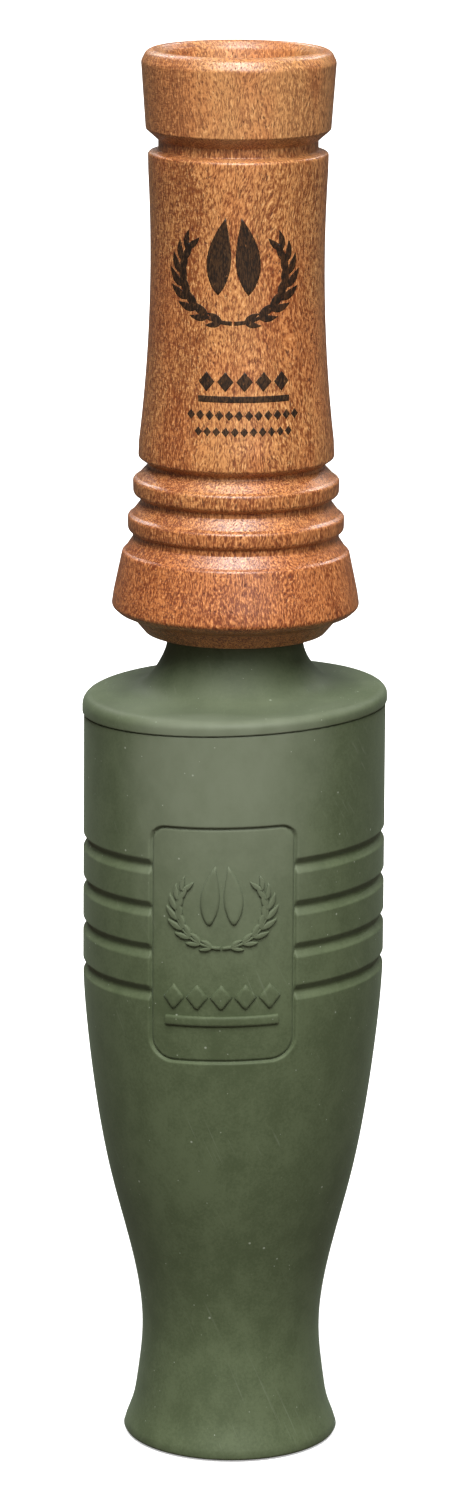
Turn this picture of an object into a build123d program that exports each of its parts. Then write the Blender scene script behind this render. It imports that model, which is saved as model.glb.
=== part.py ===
from build123d import *
import os
from math import cos, radians, sin

# Grunt tube call: a lathe-turned hardwood barrel that is blown from the top, a moulded
# insert that holds the tone board and reed inside it, and a rubber neck cap and bell that
# hang below as the sounding chamber. Millimetres. +Z is the call's axis, Z = 0 is the
# plane of the bell's mouth, and -Y is the front, where the moulded panel is.
# Outline points are (radius, height).

os.makedirs("parts", exist_ok=True)

# ---------------------------------------------------------------- driving dimensions

# clearances
running_gap = 0.05       # radius, for what slides or turns in its hole
seat_gap = 0.05          # height, between faces that rest on each other
plug_gap = 0.08          # radius, cap plug in bell
reed_gap = 0.02          # each side of the reed
ring_gap = 0.02          # radius, O-ring on its groove's floor
counterbore_gap = 0.1    # radius and depth, barrel's counterbore round the collar
past_wall = 0.5          # how far a cutting section stands proud of the wall it cuts

# bell
body_r = 22.7
seam_r = 22.62
seam_z = 114.3
straight_z = 76.0        # the bell's side is straight above this height
lip_r = 16.4
lip_z = 0.8
lip_flat_r = 15.7
bell_wall = 3.0
mouth_wall = 2.3
lip_round_r = 16.22      # where the lip's round passes its middle
lip_round_z = 0.28
seam_round = 0.5

# the four grooves round the bell
groove_top_z = 94.45
groove_pitch = 6.45
groove_count = 4
groove_depth = 0.7
groove_half_width = 1.15
groove_floor_half_width = 0.25

# front panel, a shallow recess with a raised plain mark
panel_width = 21.8
panel_bottom_z = 64.8
panel_top_z = 100.8
panel_top_corner = 2.4
panel_bottom_corner = 3.6
panel_depth = 0.3
panel_root_depth = 0.5   # how deep the raised mark is rooted
panel_half_angle = 28.7
mark_relief = 0.3
mark_bar_width = 16.6
mark_bar_height = 1.8
mark_bar_z = 71.8
toe_length = 9.0
toe_width = 4.2
toe_z = 87.0
toe_lean = 12.0
dewclaw_length = 3.4
dewclaw_width = 2.2
dewclaw_z = 79.4
dewclaw_spread = 4.4
toe_spread = 2.6

# neck cap
cap_r = 22.85
cap_rim_z = 117.0
cap_rim_round = 1.6
neck_top_z = 125.6
neck_r = 10.05
plug_bottom_z = 105.0
plug_wall = 3.2
cap_web_z = 112.6
boss_r = 9.6
boss_bottom_z = 108.0

# reed sleeve
spigot_r = 6.5
spigot_bottom_z = 107.4
collar_r = 8.8
collar_height = 1.5
spigot_lead_in = 1.2     # height of the taper at the spigot's foot
spigot_lead_in_depth = 0.6
shank_r = 7.75
shank_top_z = 150.0
shank_lead_in = 0.8
shank_lead_in_depth = 0.5
socket_r = 5.6
socket_seat_z = 135.9
air_r = 4.6
o_ring_z = (132.0, 143.0)
o_ring_groove_r = 6.4
o_ring_groove_width = 2.2
o_ring_width = 1.9
o_ring_corner = 0.5

# barrel
bore_r = 7.95            # a 5/8 inch bore
bore_top_z = 196.0
throat_r = 5.5
throat_bottom_z = 197.4
throat_top_z = 204.6
barrel_bottom_z = 125.8
top_z = 212.5
waist_r = 12.86
waist_z = 181.3
cup_r = 11.0
cup_z = 209.6

# tone board, reed and wedge
board_r = 5.52
board_bottom_z = 136.0
board_top_z = 180.0
board_tip_round = 2.0
board_flat_y = -1.0
facing_start_z = 158.0
facing_drop = 0.65       # how far the flat falls away from the reed at the tip
channel_width = 6.0
channel_floor_y = 3.2
channel_top_z = 176.0
reed_width = 9.4
reed_thickness = 0.25
reed_bottom_z = 139.0
reed_top_z = 178.5
reed_corner = 2.0
wedge_bottom_z = 138.5
wedge_top_z = 152.5
wedge_lead_in = 0.8
wedge_top_chamfer = 0.5

# ---------------------------------------------------------------- bell outline

# the flank sweeps from the flared mouth through the waist to the straight body
flank = [
    (lip_r, lip_z),
    (15.1, 4.8),
    (14.42, 7.8),
    (13.56, 16.5),
    (15.26, 29.1),
    (18.42, 41.6),
    (20.55, 53.1),
    (22.08, 65.5),
    (body_r, straight_z),
]
inner_flank = [(r - bell_wall, z) for r, z in flank[2:]]
inner_flank[0] = (flank[2][0] - mouth_wall - 0.3, flank[2][1])
flank_start = (-0.25, 1)
straight_up = (0, 1)
front = Plane.XZ
panel_floor = [(r - panel_depth, z) for r, z in flank[6:]]
panel_root = [(r - panel_root_depth, z) for r, z in flank[6:]]
mark_face = [(r + mark_relief, z) for r, z in panel_floor]
panel_foot_tangent = (0.145, 1)      # the flank's slope at the foot of the panel

# ---------------------------------------------------------------- panel recess

# everything outside the panel's floor, cut to the panel's rounded rectangle
with BuildPart() as panel_recess:
    with BuildSketch(front) as recess_ring:
        with BuildLine():
            floor_curve = Spline(*panel_floor, tangents=[panel_foot_tangent, straight_up])
            Polyline(
                floor_curve @ 1,
                (body_r - panel_depth, seam_z),
                (body_r + past_wall, seam_z),
                (body_r + past_wall, panel_floor[0][1]),
                floor_curve @ 0,
            )
        make_face()
    revolve(axis=Axis.Z)
    with BuildSketch(front.offset(2 * body_r)) as panel_outline:
        with Locations((0, (panel_bottom_z + panel_top_z) / 2)):
            Rectangle(panel_width, panel_top_z - panel_bottom_z)
        fillet(panel_outline.vertices().group_by(Axis.Z)[-1], panel_top_corner)
        fillet(panel_outline.vertices().group_by(Axis.Z)[0], panel_bottom_corner)
    extrude(amount=-2 * body_r, mode=Mode.INTERSECT)

# ---------------------------------------------------------------- raised mark

# a cloven track over a plain bar, standing up from the panel's floor
with BuildPart() as panel_mark:
    with BuildSketch(front) as mark_ring:
        with BuildLine():
            face_curve = Spline(*mark_face, tangents=[panel_foot_tangent, straight_up])
            root_curve = Spline(*panel_root, tangents=[panel_foot_tangent, straight_up])
            Polyline(
                face_curve @ 1,
                (mark_face[-1][0], seam_z),
                (panel_root[-1][0], seam_z),
                root_curve @ 1,
            )
            Line(root_curve @ 0, face_curve @ 0)
        make_face()
    revolve(axis=Axis.Z)
    with BuildSketch(front.offset(2 * body_r)) as mark_outline:
        with Locations((0, mark_bar_z)):
            Rectangle(mark_bar_width, mark_bar_height)
        for side in (-1, 1):
            with Locations(Location((side * toe_spread, toe_z), side * toe_lean)):
                Ellipse(toe_width / 2, toe_length / 2)
            with Locations(Location((side * dewclaw_spread, dewclaw_z), side * 2 * toe_lean)):
                Ellipse(dewclaw_width / 2, dewclaw_length / 2)
    extrude(amount=-2 * body_r, mode=Mode.INTERSECT)

# ---------------------------------------------------------------- bell

groove_start = -90 + panel_half_angle
groove_plane = Plane(
    origin=(0, 0, 0),
    x_dir=(cos(radians(groove_start)), sin(radians(groove_start)), 0),
    z_dir=(sin(radians(groove_start)), -cos(radians(groove_start)), 0),
)

with BuildPart() as bell:
    with BuildSketch(front) as bell_outline:
        with BuildLine():
            lip = ThreePointArc((lip_flat_r, 0), (lip_round_r, lip_round_z), flank[0])
            side = Spline(*flank, tangents=[flank_start, straight_up])
            collar_line = FilletPolyline(
                side @ 1, (seam_r, seam_z), (body_r - bell_wall, seam_z), radius=seam_round
            )
            chamber = Line(collar_line @ 1, inner_flank[-1])
            inside = Spline(
                *reversed(inner_flank),
                (lip_r - mouth_wall, 0),
                tangents=[(0, -1), (0.28, -1)],
            )
            Line(inside @ 1, lip @ 0)
        make_face()
    revolve(axis=Axis.Z)
    with BuildSketch(groove_plane) as groove_sections:
        for step in range(groove_count):
            groove_z = groove_top_z - step * groove_pitch
            with BuildLine():
                Polyline(
                    (body_r + past_wall, groove_z + groove_half_width),
                    (body_r, groove_z + groove_half_width),
                    (body_r - groove_depth, groove_z + groove_floor_half_width),
                    (body_r - groove_depth, groove_z - groove_floor_half_width),
                    (body_r, groove_z - groove_half_width),
                    (body_r + past_wall, groove_z - groove_half_width),
                    close=True,
                )
            make_face()
    revolve(axis=Axis.Z, revolution_arc=360 - 2 * panel_half_angle, mode=Mode.SUBTRACT)
    add(panel_recess.part, mode=Mode.SUBTRACT)
    add(panel_mark.part)

bell.part.label = "bell"
export_step(bell.part, "parts/bell.step")

# ---------------------------------------------------------------- neck cap

# the cap's rim sits on the bell, its plug goes down inside, and its neck takes the insert
plug_r = body_r - bell_wall - plug_gap
cap_base_z = seam_z + seat_gap
neck_bore_r = spigot_r + running_gap

with BuildPart() as neck_cap:
    with BuildSketch(front) as cap_outline:
        with BuildLine():
            rim = FilletPolyline(
                (plug_r - plug_wall, plug_bottom_z),
                (plug_r, plug_bottom_z),
                (plug_r, cap_base_z),
                (cap_r, cap_base_z),
                (cap_r, cap_rim_z - 0.2),
                (19.2, cap_rim_z),
                (16.6, cap_rim_z + 0.28),
                radius=[0.4, 0.2, 0.3, cap_rim_round, 8.0],
            )
            flare = Spline(
                rim @ 1,
                (13.9, 118.1),
                (11.75, 120.4),
                (10.82, 122.0),
                (10.27, 123.6),
                (neck_r, neck_top_z - 0.3),
                tangents=[(-1, 0.12), (-0.08, 1)],
            )
            Polyline(
                flare @ 1,
                (neck_r - 0.3, neck_top_z),
                (neck_bore_r, neck_top_z),
                (neck_bore_r, boss_bottom_z),
                (boss_r, boss_bottom_z),
                (boss_r, cap_web_z),
                (plug_r - plug_wall, cap_web_z),
                rim @ 0,
            )
        make_face()
    revolve(axis=Axis.Z)

neck_cap.part.label = "neck_cap"
export_step(neck_cap.part, "parts/neck_cap.step")

# ---------------------------------------------------------------- reed sleeve

collar_bottom_z = neck_top_z + seat_gap
collar_top_z = collar_bottom_z + collar_height

with BuildPart() as reed_sleeve:
    with BuildSketch(front) as sleeve_outline:
        with BuildLine():
            Polyline(
                (air_r, spigot_bottom_z),
                (spigot_r - spigot_lead_in_depth, spigot_bottom_z),
                (spigot_r, spigot_bottom_z + spigot_lead_in),
                (spigot_r, collar_bottom_z),
                (collar_r, collar_bottom_z),
                (collar_r, collar_top_z),
                (shank_r, collar_top_z),
                (shank_r, shank_top_z - shank_lead_in),
                (shank_r - shank_lead_in_depth, shank_top_z),
                (socket_r, shank_top_z),
                (socket_r, socket_seat_z),
                (air_r, socket_seat_z),
                close=True,
            )
        make_face()
    revolve(axis=Axis.Z)
    with BuildSketch(front) as ring_grooves:
        for ring_z in o_ring_z:
            with Locations(((o_ring_groove_r + shank_r + past_wall) / 2, ring_z)):
                Rectangle(shank_r + past_wall - o_ring_groove_r, o_ring_groove_width)
    revolve(axis=Axis.Z, mode=Mode.SUBTRACT)

reed_sleeve.part.label = "reed_sleeve"
export_step(reed_sleeve.part, "parts/reed_sleeve.step")

# ---------------------------------------------------------------- O-rings

# squeezed between groove floor and bore, so their section is flattened on both sides
o_ring_inner_r = o_ring_groove_r + ring_gap
o_ring_outer_r = bore_r - running_gap

for ring_name, ring_z in zip(("o_ring_lower", "o_ring_upper"), o_ring_z):
    with BuildPart() as o_ring:
        with BuildSketch(front) as ring_section:
            with Locations(((o_ring_inner_r + o_ring_outer_r) / 2, ring_z)):
                Rectangle(o_ring_outer_r - o_ring_inner_r, o_ring_width)
            fillet(ring_section.vertices(), o_ring_corner)
        revolve(axis=Axis.Z)
    o_ring.part.label = ring_name
    export_step(o_ring.part, f"parts/{ring_name}.step")

# ---------------------------------------------------------------- barrel

counterbore_r = collar_r + counterbore_gap
counterbore_z = collar_top_z + counterbore_gap

with BuildPart() as barrel:
    with BuildSketch(front) as turned_outline:
        with BuildLine():
            # flange, two ribs and the foot of the waist, from the bottom up
            ribs = FilletPolyline(
                (0, barrel_bottom_z),
                (13.45, barrel_bottom_z),
                (15.42, 128.1),
                (17.55, 129.0),
                (18.5, 129.85),
                (18.2, 131.9),
                (16.92, 137.92),
                (15.35, 139.99),
                (15.35, 140.9),
                (16.07, 141.27),
                (16.05, 143.4),
                (14.24, 145.27),
                (14.24, 146.2),
                (15.2, 146.73),
                (15.3, 148.91),
                (13.16, 150.59),
                (13.16, 151.27),
                (14.56, 152.27),
                (14.48, 154.6),
                radius=[0.35, 0.6, 0.5, 0.7, 3.0, 0.35, 0.2, 0.2, 0.2, 0.3,
                        0.2, 0.2, 0.25, 0.3, 0.2, 0.2, 0.4],
            )
            # shoulder, groove and head, from the top of the waist over the rim into the cup
            head = FilletPolyline(
                (13.22, 194.6),
                (13.28, 197.43),
                (11.77, 197.87),
                (11.77, 199.26),
                (13.62, 200.89),
                (14.32, 210.73),
                (13.63, 212.14),
                (12.8, top_z),
                (12.2, top_z),
                (11.35, 211.4),
                (cup_r, cup_z),
                radius=[0.5, 0.2, 0.2, 0.4, 1.2, 1.2, 0.8, 0.7, 1.5],
            )
            ThreePointArc(ribs @ 1, (waist_r, waist_z), head @ 0)
            cup = ThreePointArc(head @ 1, (9.6, 206.5), (throat_r, throat_top_z))
            Polyline(cup @ 1, (0, throat_top_z), ribs @ 0)
        make_face()
    revolve(axis=Axis.Z)
    with BuildSketch(front) as bored_outline:
        with BuildLine():
            Polyline(
                (0, barrel_bottom_z),
                (counterbore_r, barrel_bottom_z),
                (counterbore_r, counterbore_z),
                (bore_r, counterbore_z),
                (bore_r, bore_top_z),
                (throat_r, throat_bottom_z),
                (throat_r, throat_top_z),
                (0, throat_top_z),
                close=True,
            )
        make_face()
    revolve(axis=Axis.Z, mode=Mode.SUBTRACT)

barrel.part.label = "barrel"
export_step(barrel.part, "parts/barrel.step")

# ---------------------------------------------------------------- tone board

# a D-shaped trough: the reed lies on its flat, its channel opens down into the sleeve
facing_mid_z = (facing_start_z + board_top_z) / 2
channel_r = channel_width / 2
channel_centre_y = channel_floor_y - channel_r

with BuildPart() as tone_board:
    with BuildSketch(Plane.XY.offset(board_bottom_z)) as board_section:
        Circle(board_r)
        with Locations((0, board_flat_y - board_r)):
            Rectangle(2 * board_r, 2 * board_r, mode=Mode.SUBTRACT)
    extrude(amount=board_top_z - board_bottom_z)
    tip_edge = tone_board.faces().sort_by(Axis.Z)[-1].edges().filter_by(GeomType.CIRCLE)
    fillet(tip_edge, board_tip_round)
    with BuildSketch(Plane.YZ) as facing_section:
        with BuildLine():
            facing = ThreePointArc(
                (board_flat_y, facing_start_z),
                (board_flat_y + facing_drop / 4, facing_mid_z),
                (board_flat_y + facing_drop, board_top_z),
            )
            Polyline(
                facing @ 1,
                (board_flat_y - past_wall, board_top_z),
                (board_flat_y - past_wall, facing_start_z),
                facing @ 0,
            )
        make_face()
    extrude(amount=board_r, both=True, mode=Mode.SUBTRACT)
    with BuildSketch(Plane.XY.offset(board_bottom_z)) as channel_section:
        with Locations((0, channel_centre_y)):
            Circle(channel_r)
        with Locations((0, channel_centre_y - board_r / 2)):
            Rectangle(channel_width, board_r)
    extrude(amount=channel_top_z - board_bottom_z, mode=Mode.SUBTRACT)

tone_board.part.label = "tone_board"
export_step(tone_board.part, "parts/tone_board.step")

# ---------------------------------------------------------------- reed

with BuildPart() as reed:
    with BuildSketch(front.offset(-board_flat_y + reed_gap)) as reed_outline:
        with Locations((0, (reed_bottom_z + reed_top_z) / 2)):
            Rectangle(reed_width, reed_top_z - reed_bottom_z)
        fillet(reed_outline.vertices().group_by(Axis.Z)[-1], reed_corner)
    extrude(amount=reed_thickness)

reed.part.label = "reed"
export_step(reed.part, "parts/reed.step")

# ---------------------------------------------------------------- reed wedge

# fills the round socket in front of the reed, and stands a little out of it to be gripped
wedge_face_y = board_flat_y - reed_thickness - 2 * reed_gap

with BuildPart() as reed_wedge:
    with BuildSketch(Plane.XY.offset(wedge_bottom_z)) as wedge_section:
        Circle(board_r)
        with Locations((0, wedge_face_y + board_r)):
            Rectangle(2 * board_r, 2 * board_r, mode=Mode.SUBTRACT)
    extrude(amount=wedge_top_z - wedge_bottom_z)
    chamfer(reed_wedge.edges().group_by(Axis.Z)[0].filter_by(GeomType.CIRCLE), wedge_lead_in)
    chamfer(reed_wedge.edges().group_by(Axis.Z)[-1].filter_by(GeomType.CIRCLE), wedge_top_chamfer)

reed_wedge.part.label = "reed_wedge"
export_step(reed_wedge.part, "parts/reed_wedge.step")
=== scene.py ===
"""Grunt tube call: a turned hardwood barrel, a rubber neck cap and bell, and the reed insert inside.

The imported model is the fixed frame. This add-on lays the finished surfaces over it and sets the
studio round it. Outlines are written in millimetres as (radius, height), as a turner reads them,
and become metres only when a mesh is made. +Z is the call's axis and -Y its front.
"""

import math

import bpy
import numpy as np
from bpy.props import FloatProperty, FloatVectorProperty, IntProperty, PointerProperty
from mathutils import Euler, Matrix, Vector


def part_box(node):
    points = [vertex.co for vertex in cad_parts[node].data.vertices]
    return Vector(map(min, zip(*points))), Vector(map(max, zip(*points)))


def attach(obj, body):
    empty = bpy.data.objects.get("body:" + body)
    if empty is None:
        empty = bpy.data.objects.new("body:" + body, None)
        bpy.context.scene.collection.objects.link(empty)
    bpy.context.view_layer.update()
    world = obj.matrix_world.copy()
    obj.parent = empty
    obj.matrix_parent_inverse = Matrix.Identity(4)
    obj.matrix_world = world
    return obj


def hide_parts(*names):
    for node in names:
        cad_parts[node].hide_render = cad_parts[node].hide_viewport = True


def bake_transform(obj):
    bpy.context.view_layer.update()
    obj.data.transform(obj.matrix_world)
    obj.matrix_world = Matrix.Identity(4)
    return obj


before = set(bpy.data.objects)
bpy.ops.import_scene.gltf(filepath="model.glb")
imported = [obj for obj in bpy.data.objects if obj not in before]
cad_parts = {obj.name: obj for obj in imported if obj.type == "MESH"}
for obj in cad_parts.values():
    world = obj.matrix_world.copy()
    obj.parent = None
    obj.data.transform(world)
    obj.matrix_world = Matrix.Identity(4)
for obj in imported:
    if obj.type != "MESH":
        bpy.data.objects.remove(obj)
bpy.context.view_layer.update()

bl_info = {
    "name": "Grunt Tube Call",
    "version": (1, 0, 0),
    "blender": (4, 5, 0),
    "location": "3D View > Sidebar > Call",
    "description": "Builds the finished surfaces of a wood and rubber grunt tube call",
    "category": "Add Mesh",
}

MM = 0.001
FRONT = -math.pi / 2          # the angle about Z that faces the front
REPEATED = 1e-6               # steps under this, in millimetres, repeat a point
TOUCHING = 1e-4               # and steps under this are too short for a face


def height_mm(node, end):
    """Height of a node's bottom (end 0) or top (end 1), in millimetres."""
    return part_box(node)[end].z / MM


# ---------------------------------------------------------------- curves and grids


def runs(stops, steps):
    """Values from stop to stop, evenly spaced within each run at about that run's step."""
    parts = [
        np.linspace(a, b, max(1, round(abs(b - a) / step)), endpoint=False)
        for a, b, step in zip(stops[:-1], stops[1:], steps)
    ]
    return np.concatenate(parts + [np.array(stops[-1:], float)])


def arc_through(a, b, c, count):
    """The circle through three points, from a by way of b to c: its centre is where the
    bisectors of ab and bc meet, and the points divide its angle evenly."""
    a, b, c = (np.array(p, float) for p in (a, b, c))
    rows = np.array([b - a, c - b])
    centre = np.linalg.solve(rows, [rows[0] @ (a + b) / 2, rows[1] @ (b + c) / 2])
    start, middle, end = (math.atan2(*(p - centre)[::-1]) for p in (a, b, c))
    turn = (end - start) % math.tau
    if (middle - start) % math.tau > turn:
        turn -= math.tau
    angle = start + turn * np.linspace(0, 1, count)
    radius = np.linalg.norm(a - centre)
    return centre + radius * np.stack([np.cos(angle), np.sin(angle)], 1)


def rounded(corners, arc_points=7):
    """A run of straight lines with rounded corners. A corner is (radius, height, rounding): a
    circle of that rounding touches both lines, and its arc takes the corner's place."""
    points = [np.array([corners[0][:2]], float)]
    for before, here, after in zip(corners[:-2], corners[1:-1], corners[2:]):
        p = np.array(here[:2], float)
        u = np.array(before[:2]) - p
        v = np.array(after[:2]) - p
        u = u / np.linalg.norm(u)
        v = v / np.linalg.norm(v)
        half = math.acos(np.clip(u @ v, -1, 1)) / 2
        back = here[2] / math.tan(half)
        bisector = (u + v) / np.linalg.norm(u + v)
        centre = p + bisector * here[2] / math.sin(half)
        points.append(arc_through(p + u * back, centre - bisector * here[2], p + v * back, arc_points))
    points.append(np.array([corners[-1][:2]], float))
    return np.concatenate(points)


def flowing(points, start, end, count=80):
    """A cubic spline through the points, clamped to a direction at each end: every piece is a cubic
    in chord length, and the slopes at the points make its curvature run on without a jump."""
    p = np.array(points, float)
    h = np.linalg.norm(np.diff(p, axis=0), axis=1)
    n = len(p)
    system = np.zeros((n, n))
    right = np.zeros((n, 2))
    system[0, 0] = system[-1, -1] = 1
    right[0] = np.array(start) / np.linalg.norm(start)
    right[-1] = np.array(end) / np.linalg.norm(end)
    inner = np.arange(1, n - 1)
    system[inner, inner - 1] = h[1:]
    system[inner, inner] = 2 * (h[:-1] + h[1:])
    system[inner, inner + 1] = h[:-1]
    slope = np.diff(p, axis=0) / h[:, None]
    right[1:-1] = 3 * (h[1:, None] * slope[:-1] + h[:-1, None] * slope[1:])
    m = np.linalg.solve(system, right)
    along = np.concatenate([[0], np.cumsum(h)])
    s = np.linspace(0, along[-1], count)
    k = np.clip(np.searchsorted(along, s, "right") - 1, 0, n - 2)
    t = ((s - along[k]) / h[k])[:, None]
    width = h[k][:, None]
    return (
        (2 * t**3 - 3 * t**2 + 1) * p[k]
        + (t**3 - 2 * t**2 + t) * width * m[k]
        + (3 * t**2 - 2 * t**3) * p[k + 1]
        + (t**3 - t**2) * width * m[k + 1]
    )


def densified(path, spacing):
    """The same path with no step longer than the spacing: each straight run is divided evenly, and
    a point that repeats the one before it is dropped."""
    steps = np.linalg.norm(np.diff(path, axis=0), axis=1)
    shares = np.maximum(1, np.ceil(steps / spacing)).astype(int)
    start = np.repeat(path[:-1], shares, axis=0)
    run = np.repeat(np.diff(path, axis=0), shares, axis=0)
    first = np.cumsum(shares) - shares
    share = (np.arange(shares.sum()) - np.repeat(first, shares)) / np.repeat(shares, shares)
    kept = np.repeat(steps > REPEATED, shares)
    return np.concatenate([(start + run * share[:, None])[kept], path[-1:]])


def distinct(path):
    """The same path without the points that lie on the one before them."""
    return path[np.concatenate([[True], np.linalg.norm(np.diff(path, axis=0), axis=1) > TOUCHING])]


def squared(value, power):
    """One coordinate of a superellipse: a sine or cosine with its size raised to a power under 1."""
    return np.sign(value) * np.abs(value) ** power


def smooth_step(value, low, high):
    """0 below low, 1 above high, and 3t^2 - 2t^3 between."""
    t = np.clip((value - low) / (high - low), 0, 1)
    return t * t * (3 - 2 * t)


def turned(path, angles):
    """A surface of revolution: (r, z) at angle a stands at (r cos a, r sin a, z)."""
    r, z = path[:, 0][:, None], path[:, 1][:, None]
    return np.stack([r * np.cos(angles), r * np.sin(angles), z + 0 * angles], -1)


def stacked(x, y, z):
    """A surface of level sections: row i of x and y is the section at height z[i]."""
    return np.stack([x, y, z[:, None] + 0 * x], -1)


def full_turn(count):
    """Angles of a closed ring, the last step short of the first angle."""
    return np.linspace(0, math.tau, count, endpoint=False)


def grid_piece(name, points_mm, closed_rows=True, closed_columns=True, ends=False):
    """A mesh from a grid of points in millimetres. Neighbours in rows and columns share a face,
    a closed direction joins its last line to its first, and ends caps the open rows."""
    rows, columns = points_mm.shape[:2]
    index = np.arange(rows * columns).reshape(rows, columns)
    down = np.roll(index, -1, 0) if closed_rows else index[1:]
    up = index if closed_rows else index[:-1]
    if closed_columns:
        quads = np.stack([up, np.roll(up, -1, 1), np.roll(down, -1, 1), down], -1)
    else:
        quads = np.stack([up[:, :-1], up[:, 1:], down[:, 1:], down[:, :-1]], -1)
    faces = quads.reshape(-1, 4).tolist()
    if ends:
        faces += [index[0, ::-1].tolist(), index[-1].tolist()]
    mesh = bpy.data.meshes.new(name)
    mesh.from_pydata((points_mm.reshape(-1, 3) * MM).tolist(), [], faces)
    mesh.polygons.foreach_set("use_smooth", np.ones(len(faces), bool))
    mesh.update()
    piece = bpy.data.objects.new(name, mesh)
    bpy.context.scene.collection.objects.link(piece)
    return piece


def joined(name, parts):
    """Several grid pieces as one mesh, under one name."""
    bpy.ops.object.select_all(action="DESELECT")
    for part in parts:
        part.select_set(True)
    bpy.context.view_layer.objects.active = parts[0]
    bpy.ops.object.join()
    parts[0].name = parts[0].data.name = name
    return parts[0]


def dressed(piece, look, body, node=None):
    """Gives a piece its material, its body and the node that it stands for."""
    piece.data.materials.clear()
    piece.data.materials.append(look)
    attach(piece, body)
    if node:
        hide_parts(node)


# ---------------------------------------------------------------- shader formulas


class Wire:
    """A shader socket in a formula. Each sign adds a Math node."""

    def __init__(self, look, socket):
        self.look = look
        self.socket = socket

    def __add__(self, other):
        return self.look.math("ADD", self, other)

    def __sub__(self, other):
        return self.look.math("SUBTRACT", self, other)

    def __rsub__(self, other):
        return self.look.math("SUBTRACT", other, self)

    def __mul__(self, other):
        return self.look.math("MULTIPLY", self, other)

    def __gt__(self, other):
        return self.look.math("GREATER_THAN", self, other)

    __radd__ = __add__
    __rmul__ = __mul__


class Formula:
    """A node tree written as formulas."""

    def __init__(self, tree):
        self.tree = tree

    def plug(self, socket, value):
        """Sets a socket to a number or colour, or links a wire to it."""
        if isinstance(value, Wire):
            self.tree.links.new(value.socket, socket)
        elif socket.type == "RGBA" and len(value) == 3:
            socket.default_value = (*value, 1)
        else:
            socket.default_value = value

    def node(self, kind, settings=None, sockets=None, output=0):
        """Adds a node: its settings first, then the values or wires of its sockets."""
        made = self.tree.nodes.new(kind)
        for key, value in (settings or {}).items():
            setattr(made, key, value)
        for key, value in (sockets or {}).items():
            self.plug(made.inputs[key], value)
        return Wire(self, made.outputs[output])

    def math(self, operation, *values):
        """A Math node on numbers and wires."""
        return self.node("ShaderNodeMath", {"operation": operation}, dict(enumerate(values)))

    def vector(self, operation, first, second=None, scale=None):
        """A Vector Math node on a vector and another vector or a scale."""
        sockets = {0: first}
        if second is not None:
            sockets[1] = second
        if scale is not None:
            sockets["Scale"] = scale
        return self.node("ShaderNodeVectorMath", {"operation": operation}, sockets)

    def mix(self, share, a, b, blend="MIX"):
        """Colour a where share is 0, b where it is 1."""
        settings = {"data_type": "RGBA", "blend_type": blend, "clamp_factor": True}
        return self.node("ShaderNodeMix", settings, {0: share, 6: a, 7: b}, output=2)


class Look(Formula):
    """A material with one Principled shader, built up by formulas."""

    def __init__(self, name):
        self.material = bpy.data.materials.new(name)
        self.material.use_nodes = True
        super().__init__(self.material.node_tree)
        self.tree.nodes.clear()
        self.shader = self.tree.nodes.new("ShaderNodeBsdfPrincipled")
        out = self.tree.nodes.new("ShaderNodeOutputMaterial")
        self.tree.links.new(self.shader.outputs[0], out.inputs["Surface"])
        place = self.node("ShaderNodeTexCoord", output="Object")
        self.object_mm = self.vector("SCALE", place, scale=1 / MM)

    def noise(self, stretch, detail=3.0, roughness=0.5, warp=None):
        """Smooth noise on the piece's own millimetres, divided by the stretch along each axis."""
        place = self.object_mm if warp is None else self.vector("ADD", self.object_mm, warp)
        place = self.vector("MULTIPLY", place, tuple(1 / s for s in stretch))
        sockets = {"Vector": place, "Scale": 1.0, "Detail": detail, "Roughness": roughness}
        return self.node("ShaderNodeTexNoise", None, sockets, output="Fac")

    def ramp(self, value, low, high):
        """0 at low and under, 1 at high and over, smooth between."""
        settings = {"interpolation_type": "SMOOTHSTEP"}
        sockets = {"Value": value, "From Min": low, "From Max": high}
        return self.node("ShaderNodeMapRange", settings, sockets)

    def place(self, axis):
        """One coordinate of the piece's own millimetres: axis 0, 1 or 2."""
        return self.node("ShaderNodeSeparateXYZ", None, {0: self.object_mm}, output=axis)

    def cells(self, spacing, feature="F1", output="Distance"):
        """Cells round seeds scattered about a spacing in millimetres apart, measured in spacings."""
        sockets = {"Vector": self.object_mm, "Scale": 1 / spacing, "Randomness": 1.0}
        return self.node("ShaderNodeTexVoronoi", {"feature": feature}, sockets, output=output)

    def drawn(self, spacing):
        """A number from 0 to 1 drawn for each cell, the same all over the cell."""
        seed = self.cells(spacing, output="Color")
        return self.node("ShaderNodeSeparateColor", None, {0: seed}, output=0)

    def spots(self, spacing, radius, chance, edge=0.3):
        """Round specks: 1 within the radius of a cell's seed, for the share of cells that have one."""
        near = self.cells(spacing) * spacing
        drawn = self.drawn(spacing)
        return (1 - self.ramp(near, radius * (1 - edge), radius * (1 + edge))) * (drawn > 1 - chance)

    def bump(self, height, strength, distance_mm):
        """Tilts the surface by a height field."""
        sockets = {"Height": height, "Strength": strength, "Distance": distance_mm * MM}
        normal = self.node("ShaderNodeBump", None, sockets)
        self.plug(self.shader.inputs["Normal"], normal)

    def set(self, **values):
        """Sets the shader's sockets, named with _ for a space."""
        for key, value in values.items():
            self.plug(self.shader.inputs[key.replace("_", " ").title().replace("Ior", "IOR")], value)


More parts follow.
